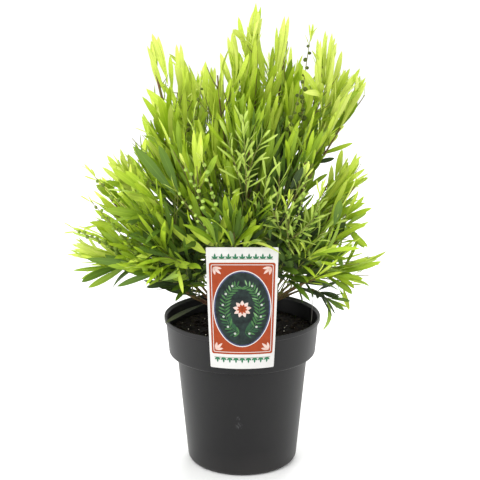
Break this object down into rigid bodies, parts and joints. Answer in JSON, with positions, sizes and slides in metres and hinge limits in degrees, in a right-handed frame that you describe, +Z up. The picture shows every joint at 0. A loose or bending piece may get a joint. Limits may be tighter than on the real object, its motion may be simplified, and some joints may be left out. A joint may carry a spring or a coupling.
{
  "type": "potted bottlebrush plant",
  "caption": "Young bottlebrush shrub with dense upright lance-shaped leaves and green flower buds, in a stepped round nursery pot with a picture label hooked over its rim.",
  "frame": {"origin": "centre of the pot's flat underside", "axes": "+Z up, along the pot's axis; -Y towards the side of the pot that carries the label; +X to the right seen from that side"},
  "size_m": [0.4004, 0.3357, 0.584],
  "materials": {
    "pot": "charcoal satin moulded plastic with a faint vertical sheen",
    "potting_mix": "dark moist bark-based potting mix with a few pale specks",
    "label": "printed card of thin plastic, white border, orange bands and a green picture",
    "trunk_bark": "grey-brown fissured bark",
    "limb_bark": "smooth reddish-brown young bark",
    "foliage": "smooth lance-shaped leaves, dark green inside the crown and lime at the tips"
  },
  "bodies": {
    "root": {"pot": "pot", "potting_mix": "potting_mix", "plant_label": "label", "trunk": "trunk_bark", "stem_top_centre": "limb_bark", "stem_top_left": "limb_bark", "stem_top_right": "limb_bark", "stem_back_left": "limb_bark", "stem_back_right": "limb_bark", "stem_front": "limb_bark", "stem_low_left": "limb_bark", "stem_low_right": "limb_bark", "bough_inner_right": "limb_bark", "bough_inner_left": "limb_bark", "bough_shoulder_right": "limb_bark", "bough_shoulder_left": "limb_bark", "bough_outer_left": "limb_bark", "bough_outer_right": "limb_bark", "bough_front_left": "limb_bark", "bough_front_right": "limb_bark", "bough_front_low": "limb_bark", "bough_back_middle": "limb_bark", "bough_back_outer_left": "limb_bark", "bough_back_outer_right": "limb_bark", "bough_side_front_left": "limb_bark", "bough_side_front_right": "limb_bark", "bough_low_front_left": "limb_bark", "bough_low_front_right": "limb_bark", "bough_low_back_left": "limb_bark", "bough_low_back_right": "limb_bark", "stem_low_back": "limb_bark", "bough_drooping": "limb_bark", "foliage_top_centre": "foliage", "foliage_top_left": "foliage", "foliage_top_right": "foliage", "foliage_back_left": "foliage", "foliage_back_right": "foliage", "foliage_front": "foliage", "foliage_low_left": "foliage", "foliage_low_right": "foliage", "foliage_inner_right": "foliage", "foliage_inner_left": "foliage", "foliage_shoulder_right": "foliage", "foliage_shoulder_left": "foliage", "foliage_outer_left": "foliage", "foliage_outer_right": "foliage", "foliage_front_left": "foliage", "foliage_front_right": "foliage", "foliage_front_low": "foliage", "foliage_back_middle": "foliage", "foliage_back_outer_left": "foliage", "foliage_back_outer_right": "foliage", "foliage_side_front_left": "foliage", "foliage_side_front_right": "foliage", "foliage_low_front_left": "foliage", "foliage_low_front_right": "foliage", "foliage_low_back_left": "foliage", "foliage_low_back_right": "foliage", "foliage_low_back": "foliage", "foliage_drooping": "foliage"}
  },
  "joints": []
}
